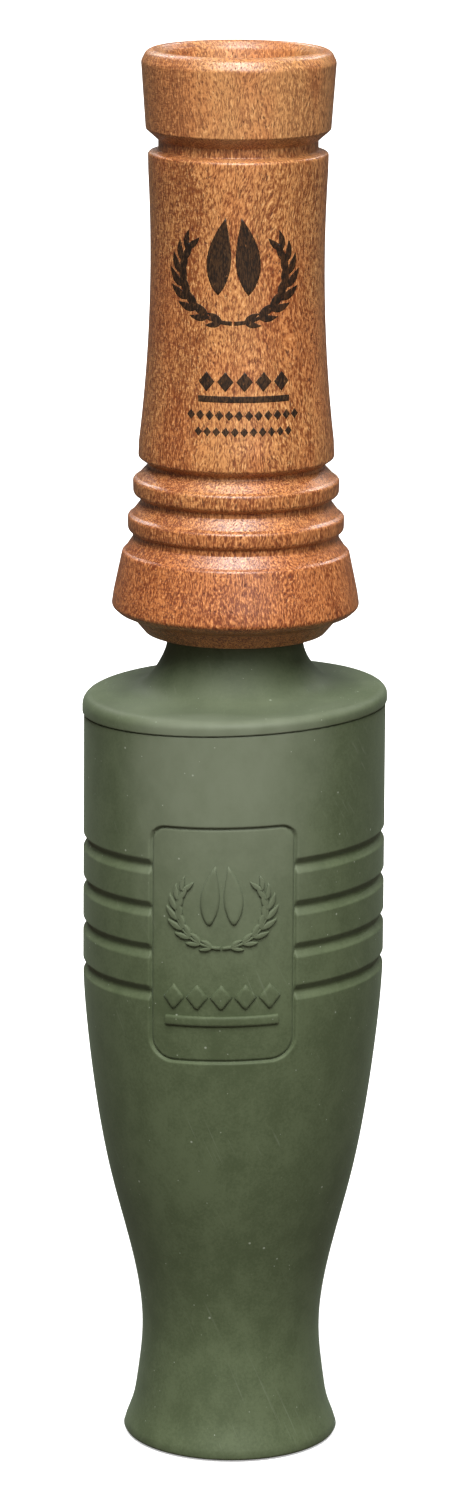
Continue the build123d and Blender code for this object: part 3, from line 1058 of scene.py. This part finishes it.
class CALL_OT_voice(bpy.types.Operator):
    """Make the tone board, reed and wedge"""

    bl_idname = "call.voice"
    bl_label = "Tone board, reed and wedge"

    def execute(self, context):
        self.tone_board()
        self.reed()
        self.wedge()
        return {"FINISHED"}

    def tone_board(self):
        """A D section swept upwards. The flat falls away as the square of the height above the
        facing's start, the channel closes to nothing at its end, and the nose is rounded by most of
        a circle's sagitta, nose - sqrt(nose^2 - over^2) at a height over the nose's start."""
        low, high = height_mm("tone_board", 0), height_mm("tone_board", 1)
        board_r, flat_y, drop, start = 5.52, -1.0, 0.65, 158.0
        channel_r, channel_middle, channel_top, channel_run_out = 3.0, 0.2, 176.0, 3.0
        nose, bevel_high, bevel_deep = 2.0, 0.3, 0.25
        z = runs([low, low + bevel_high, start, high - nose, high - 0.12, high], [0.1, 1.5, 0.6, 0.2, 0.04])
        flat = flat_y + drop * np.clip((z - start) / (high - start), 0, None) ** 2
        bevel = np.clip((low + bevel_high - z) / bevel_high, 0, 1) * bevel_deep
        over = np.clip(z - high + nose, 0, nose)
        radius = board_r - bevel - (nose - np.sqrt(np.clip(nose**2 - over**2, 0, None))) * 0.9
        depth = 1 - smooth_step(z, channel_top - channel_run_out, channel_top)
        start_angle = np.arcsin(flat / radius)
        share = np.linspace(0, 1, 56)
        sweep = start_angle[:, None] + (math.pi - 2 * start_angle[:, None]) * share
        back = np.stack([radius[:, None] * np.cos(sweep), radius[:, None] * np.sin(sweep)], -1)
        reach = channel_middle - flat[:, None]
        u = np.linspace(math.pi, 0, 27)
        bottom_x = channel_r * np.cos(u) + 0 * reach
        bottom_y = flat[:, None] + (reach + channel_r * np.sin(u)) * depth[:, None]
        left = np.stack([np.full_like(reach, -channel_r), flat[:, None]], -1)
        right = np.stack([np.full_like(reach, channel_r), flat[:, None]], -1)
        section = np.concatenate([back, left, np.stack([bottom_x, bottom_y], -1), right], 1)
        points = stacked(section[..., 0], section[..., 1], z)
        piece = grid_piece("tone_board_moulding", points, closed_rows=False, ends=True)
        dressed(piece, tone_board_look(), "tone_board", "tone_board")

    def reed(self):
        """A thin strip: a superellipse section swept up, with round corners at the tip."""
        low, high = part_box("reed")
        half_width = high.x / MM
        bottom, top = low.z / MM, high.z / MM
        middle_y, half_thick = (low.y + high.y) / 2 / MM, (high.y - low.y) / 2 / MM
        corner = 2.0
        z = runs([bottom, top - corner, top - 0.05, top], [0.6, 0.12, 0.02])
        into = np.clip(z - (top - corner), 0, corner)
        half = half_width - corner + np.sqrt(np.clip(corner**2 - into**2, 0, None))
        angle = full_turn(20)
        x = half[:, None] * squared(np.cos(angle), 0.15)
        y = middle_y + half_thick * squared(np.sin(angle), 0.4) + 0 * x
        piece = grid_piece("reed_strip", stacked(x, y, z), closed_rows=False, ends=True)
        piece.data.materials.append(reed_look())
        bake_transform(piece)
        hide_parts("reed")

    def wedge(self):
        """A circle segment swept up, bevelled at both ends. Its round skin wavers a few hundredths
        of a millimetre inwards, the sum of two sines of angle and height, as cut cork does."""
        low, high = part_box("reed_wedge")
        bottom, top = low.z / MM, high.z / MM
        face_y, skin_r, foot_bevel, top_bevel = high.y / MM, 5.48, 0.9, 0.6
        z = runs([bottom, bottom + foot_bevel, top - top_bevel, top], [0.15, 0.5, 0.1])
        inset = 0.8 * np.clip((bottom + foot_bevel - z) / foot_bevel, 0, 1)
        inset = inset + 0.5 * np.clip((z - top + top_bevel) / top_bevel, 0, 1)
        radius = (skin_r - inset)[:, None]
        start = np.arcsin(face_y / radius)
        share = np.linspace(0, 1, 40)
        sweep = -math.pi - start + (math.pi + 2 * start) * share
        slow, quick = np.sin(5.1 * sweep + 2.3 * z[:, None]), np.sin(9.7 * sweep - 3.1 * z[:, None])
        waver = 0.03 * (slow + quick - 2)
        back_x = (radius + waver) * np.cos(sweep)
        back_y = np.minimum((radius + waver) * np.sin(sweep), face_y)
        face_x = np.linspace(1, -1, 14)[1:-1] * (back_x[:, -1:] * 0.98)
        x = np.concatenate([back_x, face_x], 1)
        y = np.concatenate([back_y, np.full_like(face_x, face_y)], 1)
        piece = grid_piece("wedge_cork", stacked(x, y, z), closed_rows=False, ends=True)
        dressed(piece, cork_look(), "wedge", "reed_wedge")


class CALL_OT_stage(bpy.types.Operator):
    """Set the floor, the lights and the camera"""

    bl_idname = "call.stage"
    bl_label = "Studio"

    def execute(self, context):
        settings = context.scene.grunt_call
        self.floor()
        self.sun("key", azimuth=2, elevation=55, strength=5.8, spread=40)
        self.sun("fill", azimuth=22, elevation=24, strength=0.75, spread=40)
        self.sun("back left", azimuth=-148, elevation=38, strength=1.05, spread=20)
        self.sun("back right", azimuth=148, elevation=38, strength=1.05, spread=20)
        self.room(context.scene)
        context.scene.view_settings.view_transform = "Standard"
        self.camera(context.scene, settings)
        return {"FINISHED"}

    def floor(self):
        """A wide pale floor. It looks white and throws back only a little of its light, so that
        the undersides stay deep."""
        look = Look("studio_floor")
        haze = look.noise((400, 400, 400), detail=2)
        pale = look.mix(haze, (0.86, 0.86, 0.85), (0.90, 0.90, 0.89))
        seen = look.node("ShaderNodeLightPath", output="Is Camera Ray")
        look.set(
            base_color=look.mix(seen, (0.075, 0.055, 0.04), pale),
            roughness=0.8,
            specular_ior_level=0.1,
            emission_color=look.mix(seen, (0, 0, 0), (0.4, 0.4, 0.4)),
            emission_strength=1.0,
        )
        reach, under = 14000.0, 0.02
        side = np.linspace(-reach, reach, 9)
        x, y = np.meshgrid(side, side)
        floor = grid_piece("floor", np.stack([x, y, 0 * x - under], -1), False, False)
        floor.data.materials.append(look.material)

    def sun(self, name, azimuth, elevation, strength, spread):
        """A soft light from far off. Azimuth 0 is the front and 90 the right; the spread is how
        wide the light looks. All are in degrees."""
        lamp = bpy.data.lights.new(name, "SUN")
        lamp.energy = strength
        lamp.angle = math.radians(spread)
        holder = bpy.data.objects.new(name, lamp)
        bpy.context.scene.collection.objects.link(holder)
        holder.rotation_euler = (math.radians(90 - elevation), 0, math.radians(azimuth))

    def room(self, scene):
        """Dim even light from all round, which looks white itself."""
        scene.world = bpy.data.worlds.new("studio")
        scene.world.use_nodes = True
        tree = Formula(scene.world.node_tree)
        seen = tree.node("ShaderNodeLightPath", output="Is Camera Ray")
        background = tree.tree.nodes["Background"]
        tree.plug(background.inputs["Color"], (1, 1, 1))
        tree.plug(background.inputs["Strength"], seen * 0.95 + 0.07)

    def camera(self, scene, settings):
        """The camera stands a little right of the front, above the call, and looks down at it."""
        aside = 0.00126
        turn = settings.camera_turn
        lens = bpy.data.cameras.new("camera")
        lens.sensor_width = 36
        lens.lens = 134.3
        holder = bpy.data.objects.new("camera", lens)
        scene.collection.objects.link(holder)
        out = settings.camera_distance
        holder.location = (
            math.sin(turn) * out - math.cos(turn) * aside,
            -math.cos(turn) * out - math.sin(turn) * aside,
            settings.camera_height,
        )
        level = Euler((math.pi / 2 - settings.camera_pitch, 0, turn)).to_matrix()
        holder.rotation_euler = (level @ Matrix.Rotation(settings.camera_roll, 3, "Z")).to_euler()
        scene.camera = holder


class CALL_PT_panel(bpy.types.Panel):
    """The call's pieces and settings"""

    bl_idname = "CALL_PT_panel"
    bl_label = "Grunt Tube Call"
    bl_space_type = "VIEW_3D"
    bl_region_type = "UI"
    bl_category = "Call"

    def draw(self, context):
        for name in CallSettings.__annotations__:
            self.layout.prop(context.scene.grunt_call, name)
        for operator in OPERATORS:
            self.layout.operator(operator.bl_idname)


OPERATORS = (
    CALL_OT_barrel,
    CALL_OT_print,
    CALL_OT_bell,
    CALL_OT_relief,
    CALL_OT_cap,
    CALL_OT_insert,
    CALL_OT_voice,
    CALL_OT_stage,
)


def register():
    """Adds the settings, the operators and the panel."""
    for cls in (CallSettings, *OPERATORS, CALL_PT_panel):
        bpy.utils.register_class(cls)
    bpy.types.Scene.grunt_call = PointerProperty(type=CallSettings)


def unregister():
    """Takes them away again."""
    del bpy.types.Scene.grunt_call
    for cls in (CALL_PT_panel, *reversed(OPERATORS), CallSettings):
        bpy.utils.unregister_class(cls)


def main():
    """Makes every piece in order."""
    register()
    bpy.ops.call.barrel()
    bpy.ops.call.print()
    bpy.ops.call.bell()
    bpy.ops.call.relief()
    bpy.ops.call.cap()
    bpy.ops.call.insert()
    bpy.ops.call.voice()
    bpy.ops.call.stage()


if __name__ == "__main__":
    main()
